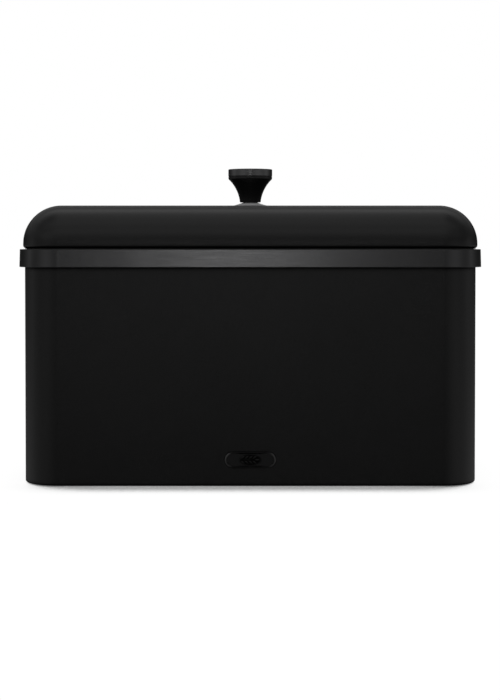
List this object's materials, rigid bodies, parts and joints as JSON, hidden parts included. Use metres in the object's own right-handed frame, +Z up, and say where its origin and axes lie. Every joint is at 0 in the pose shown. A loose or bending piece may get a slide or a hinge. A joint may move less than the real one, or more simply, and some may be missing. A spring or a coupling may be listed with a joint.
{
  "type": "bread bin",
  "caption": "Rounded rectangular steel bread bin with a trim band round the mouth and a domed lift-off lid with a turned knob.",
  "frame": {"origin": "centre of the base, on the surface that the feet stand on", "axes": "+X across the width, +Y from the front with the badge to the back, +Z up"},
  "size_m": [0.36, 0.2189, 0.2474],
  "materials": {
    "black_powder_coat": "satin powder coat",
    "black_plated_metal": "satin black plating",
    "dark_satin_metal": "satin black nickel",
    "satin_metal": "satin turned metal",
    "zinc_plated_steel": "bright zinc plating",
    "brass": "plain turned brass",
    "black_plastic": "fine moulded grain",
    "black_rubber": "matt moulded rubber"
  },
  "bodies": {
    "bin": {"body_wall": "black_powder_coat", "base_pan": "black_powder_coat", "trim_band": "black_plated_metal", "band_splice": "zinc_plated_steel", "band_rivets": "dark_satin_metal", "badge_plate": "black_plated_metal", "badge_clips": "zinc_plated_steel", "foot_front_left": "black_rubber", "foot_front_right": "black_rubber", "foot_back_left": "black_rubber", "foot_back_right": "black_rubber"},
    "lid": {"lid_shell": "black_powder_coat", "lid_collar": "black_plastic", "rose_gasket": "black_rubber", "rose": "satin_metal", "knob_stem": "black_powder_coat", "knob_insert": "brass", "knob_cap": "dark_satin_metal", "lid_washer": "zinc_plated_steel", "knob_screw": "zinc_plated_steel"}
  },
  "joints": [
    {"name": "lid_lift", "type": "slide", "parent": "bin", "child": "lid", "axis": [0, 0, 1], "range_m": [0, 0.2]}
  ]
}
